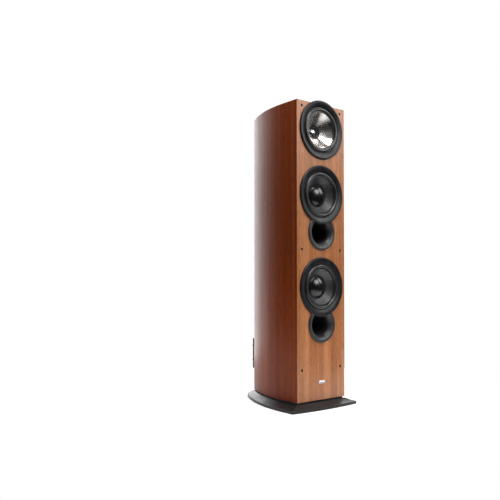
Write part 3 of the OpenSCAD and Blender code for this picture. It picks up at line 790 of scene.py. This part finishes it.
def make_terminals(face, gold, red, black):
    """Posts, links, washers and fluted nuts."""
    post = [(2.0, 22), (2.6, 22), (3.0, 21.6)]
    thread_top, thread_foot, pitch = 21.0, 4.6, 1.0
    h = thread_top
    while h > thread_foot:
        post += [(3.0, h), (2.72, h - pitch * 0.45), (3.0, h - pitch * 0.9)]
        h -= pitch
    post += [(3.0, 4.2), (6.4, 4.0), (7.0, 3.4), (7.0, 0.5), (6.7, 0.0), (3.0, 0.0), (3.0, -9.0),
             (0, -9.0), (0, 7.0), (2.0, 7.0)]
    grip = mm([(3.3, 7.2), (3.6, 7.0), (6.0, 7.0), (6.6, 7.4), (7.0, 8.2), (7.0, 17.6),
               (6.6, 18.6), (5.9, 19.6), (5.6, 20.6), (5.2, 21.0), (3.7, 21.0), (3.3, 20.7)])
    washer = mm([(3.3, 6.2), (3.5, 6.1), (6.0, 6.1), (6.3, 6.3), (6.3, 6.9), (6.1, 7.1),
                 (3.5, 7.1), (3.3, 7.0)])
    for i, x, z in post_spots():
        place = back_axis(x, face, z)
        stem = lathe(f"post_{i}", place, mm(post), 48)
        finish_piece(stem, gold, "cabinet", "gold_metal", "binding_posts")
        disc = lathe(f"washer_{i}", place, washer, 48)
        finish_piece(disc, gold, f"post_washer_{i}", "gold_metal", f"post_washer_{i}")
        left = x < 0
        nut = lathe(f"nut_{i}", place, grip, 144, waves=(12, 0.7 * MM, 6.8 * MM))
        finish_piece(nut, red if left else black, f"thumb_nut_{i}",
                     "nut_red" if left else "nut_black", f"thumb_nut_{i}")
    make_links(face, gold)


def make_links(face, gold):
    """Two flat bars with round ends, one for each column of posts."""
    spots = post_spots()
    for k, x in enumerate(sorted({round(s[1], 5) for s in spots})):
        zs = sorted(s[2] for s in spots if abs(s[1] - x) < 1e-4)
        eye, half = 6.4 * MM, 3.9 * MM
        side = math.degrees(math.asin(half / eye))
        top = [(x + px, zs[1] + pz) for px, pz in arc((0, 0), eye, side - 90, 270 - side, 32)]
        foot = [(x + px, zs[0] + pz) for px, pz in arc((0, 0), eye, side + 90, 450 - side, 32)]
        outline = top + foot
        centre = (x, (zs[0] + zs[1]) / 2)
        rings = []
        for inset, depth in ((0.3, 4.3), (0, 4.5), (0, 5.6), (0.3, 5.8)):
            ring = []
            for px, pz in outline:
                reach = math.hypot(px - centre[0], pz - centre[1])
                pull = 1 - inset * MM / reach
                ring.append((centre[0] + (px - centre[0]) * pull, face + depth * MM,
                             centre[1] + (pz - centre[1]) * pull))
            rings.append(ring)
        verts, faces = rings_to_mesh(rings, close_ends=False)
        n = len(outline)
        faces += [list(range(n)), [3 * n + i for i in range(n)]]
        bar = make_piece(f"link_{k + 1}", verts, faces)
        cut(bar, [drum(back_axis(x, face, z), 3.3 * MM, 0, 10 * MM, 48) for z in zs])
        finish_piece(bar, gold, "cabinet", "gold_metal", "link_plates")


def make_terminal_screws(face, material):
    """Pan heads with a cross recess, in the panel's corners."""
    head = mm([(0, -22), (1.5, -22), (1.5, -2.0), (3.0, -2.0), (3.0, -1.4), (2.7, -0.8),
               (1.9, -0.35), (0, -0.2)])
    z0 = middle("terminal_panel").z
    for i, (x, z) in enumerate(PANEL_SCREWS):
        screw = lathe(f"panel_screw_{i + 1}", back_axis(x, face, z0 + z), head, 40, closed=False)
        slots = [rounded_box("cutter", (x - a, face - 1.3 * MM, z0 + z - b),
                             (x + a, face + 1 * MM, z0 + z + b), 0.1 * MM, 1)
                 for a, b in ((1.7 * MM, 0.35 * MM), (0.35 * MM, 1.7 * MM))]
        cut(screw, slots)
        finish_piece(screw, material, "cabinet", "black_screw", "terminal_screws")


# ---------------------------------------------------------------- build everything

def dress(materials):
    """Gives materials to the CAD nodes that stay as they are."""
    for nodes, material in materials:
        for node in nodes:
            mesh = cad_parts[node].data
            mesh.materials.clear()
            mesh.materials.append(material)


def build():
    """Makes every piece, material by material, and dresses the CAD nodes that stay."""
    front_wood = walnut("walnut_front_vinyl", (1.05, 1.02, 1.0))
    # The wrap is the front's walnut with a darker, redder tint that paints shade onto the sides, the top and
    # the board's edges
    painted_shade_wrap_wood = walnut("walnut_wrap_vinyl_painted_shade", (0.70, 0.29, 0.08), 7.0, 0.10)
    satin_black = moulded("satin_black_moulding", (0.009, 0.009, 0.011), 0.36, specular=0.2)
    plinth_black = moulded("plinth_moulding", (0.013, 0.012, 0.012), 0.38, 900, 0.2, specular=0.25)
    port_black = moulded("port_moulding", (0.016, 0.016, 0.018), 0.45)
    rubber = moulded("surround_rubber", (0.010, 0.010, 0.011), 0.33, 1200, 0.08)
    foot_rubber = moulded("foot_rubber", (0.018, 0.018, 0.018), 0.7, 800, 0.3)
    steel = plated("zinc_steel", (0.60, 0.60, 0.62), 0.34)
    gold = plated("gold_plate", (0.86, 0.62, 0.24), 0.2)
    black_screw = plated("black_oxide", (0.05, 0.05, 0.055), 0.4)
    frame_coat = moulded("frame_powder_coat", (0.03, 0.03, 0.032), 0.6, 700, 0.3)

    make_shell(painted_shade_wrap_wood)
    make_board(front_wood, painted_shade_wrap_wood)
    make_sockets(satin_black)
    make_badge(plated("badge_plate_metal", (0.74, 0.74, 0.76), 0.28, (40, 40, 900)))
    make_plinth(plinth_black)
    make_feet(foot_rubber)

    for driver in AXES:
        make_trim_ring(driver, satin_black)
    make_surround("coax", "midrange", "midrange_assembly", rubber)
    bright = turned("bright_cone_metal", 0, AXES["coax"], (0.80, 0.76, 0.73), 1.0, 0.26,
                    0.9 * MM, 0.05, 0.03, streak=0.8)
    make_cone("coax", "midrange", "midrange_assembly", "bright_cone", bright,
              neck_r=25.4, neck_h=-33, dip=2)
    for driver in ("upper", "lower"):
        assembly = f"{driver}_woofer_assembly"
        make_surround(driver, driver, assembly, rubber)
        grey = turned(f"{driver}_cone_skin", 0, AXES[driver], (0.026, 0.026, 0.030), 0.0, 0.42,
                      1.1 * MM, 0.35, coat=0.15)
        make_cone(driver, driver, assembly, "grey_cone", grey, neck_r=19.4, neck_h=-30, dip=3)
        make_dust_cap(driver, assembly, glossy(f"{driver}_cap_gloss", (0.004, 0.005, 0.004), 0.22,
                                               0.0))
        make_port(driver, port_black)
    make_waveguide(moulded("waveguide_moulding", (0.03, 0.03, 0.033), 0.32, 1600, 0.06))
    make_tweeter_dome(turned("dome_metal", 0, AXES["coax"], (0.86, 0.86, 0.87), 1.0, 0.16,
                             0.6 * MM, 0.03))

    face = make_terminal_panel(moulded("terminal_moulding", (0.02, 0.02, 0.022), 0.45))
    make_terminals(face, gold, glossy("red_grip", (0.42, 0.012, 0.012), 0.16),
                   glossy("black_grip", (0.015, 0.015, 0.016), 0.18))
    make_terminal_screws(face, black_screw)

    raw = board_material("bare_fibreboard", (0.42, 0.30, 0.19), 420)
    wool = board_material("wadding_fibre", (0.75, 0.75, 0.72), (120, 400, 120))
    copper = plated("enamelled_copper", (0.66, 0.28, 0.12), 0.3, (300, 300, 1500))
    dress([
        (["top_panel"], painted_shade_wrap_wood),
        (["bottom_panel", "window_braces"], raw),
        (["wadding"], wool),
        (["plinth_bolts"] + [f"foot_stud_{i}" for i in range(1, 5)], steel),
        (["coax_basket", "upper_basket", "lower_basket"], frame_coat),
        (["midrange_coil", "upper_coil", "lower_coil", "crossover_coils"], copper),
        (["tweeter_motor", "top_plates", "back_plates"], steel),
        (["magnets"], moulded("ferrite", (0.04, 0.04, 0.042), 0.7, 500, 0.4)),
        (["spiders"], board_material("spider_cloth", (0.62, 0.42, 0.13), 900)),
        (["driver_screws"], black_screw),
        (["crossover_board"], glossy("board_lacquer", (0.03, 0.18, 0.08), 0.3, 0.2)),
        (["crossover_small_parts"], glossy("capacitor_sleeve", (0.12, 0.24, 0.42), 0.3, 0.2)),
        (["wiring_harness"], moulded("lead_sleeve", (0.40, 0.03, 0.03), 0.45, 900, 0.05)),
    ])


# ---------------------------------------------------------------- stage

def make_floor():
    """A plain pale round floor, lit a little from within so that it stays near white."""
    disc = [(0, 0), (FLOOR_R, 0)]
    floor = lathe("studio_floor", upright_axis(0, 0, 0), disc, 128, closed=False)
    s = Surface("floor_paint", rough=0.9, color=(0.92, 0.92, 0.92))
    s.set(Emission_Color=(1, 1, 1, 1), Emission_Strength=FLOOR_GLOW, Specular_IOR_Level=0.0)
    s.color(s.ramp(s.noise(0.6, 2), [(0.3, (0.91, 0.91, 0.91)), (0.7, (0.93, 0.93, 0.93))]))
    floor.data.materials.append(s.material)


def area_light(name, place, target, size, power):
    """A soft rectangular white light that faces a point."""
    data = bpy.data.lights.new(name, "AREA")
    data.shape = "RECTANGLE"
    data.size, data.size_y = size
    data.energy = power
    light = bpy.data.objects.new(name, data)
    light.location = place
    way = Vector(target) - Vector(place)
    light.rotation_euler = way.to_track_quat("-Z", "Y").to_euler()
    bpy.context.scene.collection.objects.link(light)
    return light


def make_world():
    """A plain bright studio that lights mostly from behind, so the near side falls off dark."""
    world = bpy.data.worlds.new("studio")
    world.use_nodes = True
    tree = world.node_tree
    tree.nodes.clear()
    out = tree.nodes.new("ShaderNodeOutputWorld")
    coord = tree.nodes.new("ShaderNodeTexCoord")
    toward = tree.nodes.new("ShaderNodeVectorMath")
    toward.operation = "DOT_PRODUCT"
    toward.inputs[1].default_value = GLOW_SIDE
    tree.links.new(coord.outputs["Generated"], toward.inputs[0])
    fade = tree.nodes.new("ShaderNodeMapRange")
    for key, number in zip(("From Min", "From Max", "To Min", "To Max"),
                           GLOW_SPAN + GLOW_POWER):
        fade.inputs[key].default_value = number
    tree.links.new(toward.outputs["Value"], fade.inputs["Value"])
    glow = tree.nodes.new("ShaderNodeBackground")
    tree.links.new(fade.outputs["Result"], glow.inputs["Strength"])
    plain = tree.nodes.new("ShaderNodeBackground")
    plain.inputs["Color"].default_value = (1, 1, 1, 1)
    seen = tree.nodes.new("ShaderNodeLightPath")
    mix = tree.nodes.new("ShaderNodeMixShader")
    tree.links.new(seen.outputs["Is Camera Ray"], mix.inputs[0])
    tree.links.new(glow.outputs[0], mix.inputs[1])
    tree.links.new(plain.outputs[0], mix.inputs[2])
    tree.links.new(mix.outputs[0], out.inputs["Surface"])
    bpy.context.scene.world = world


def make_lights():
    """A big key in front, a tall strip from the right, a top light, and the bright world."""
    area_light("key", (0.6, -2.7, 2.1), (0, -0.1, 0.6), (1.6, 1.3), 64)
    area_light("strip", (1.9, -1.6, 2.0), (0, -0.1, 0.6), (0.6, 1.3), 26)
    area_light("top", (-0.5, -0.8, 2.6), (0, 0, 0.7), (1.0, 1.0), 42)
    make_world()


def make_camera():
    """The photograph's view: low, from the front left corner, slightly shifted."""
    data = bpy.data.cameras.new("view")
    data.lens = 44.99
    data.sensor_width = 36.0
    data.shift_y = 0.04
    camera = bpy.data.objects.new("view", data)
    yaw, pitch = 0.6693, 0.0204
    camera.location = (-1.472, -1.6412, 0.4139)
    camera.rotation_euler = (math.pi / 2 + pitch, 0, -yaw)
    bpy.context.scene.collection.objects.link(camera)
    bpy.context.scene.camera = camera


make_camera()
build()
make_floor()
make_lights()
bpy.context.scene.view_settings.view_transform = "Standard"
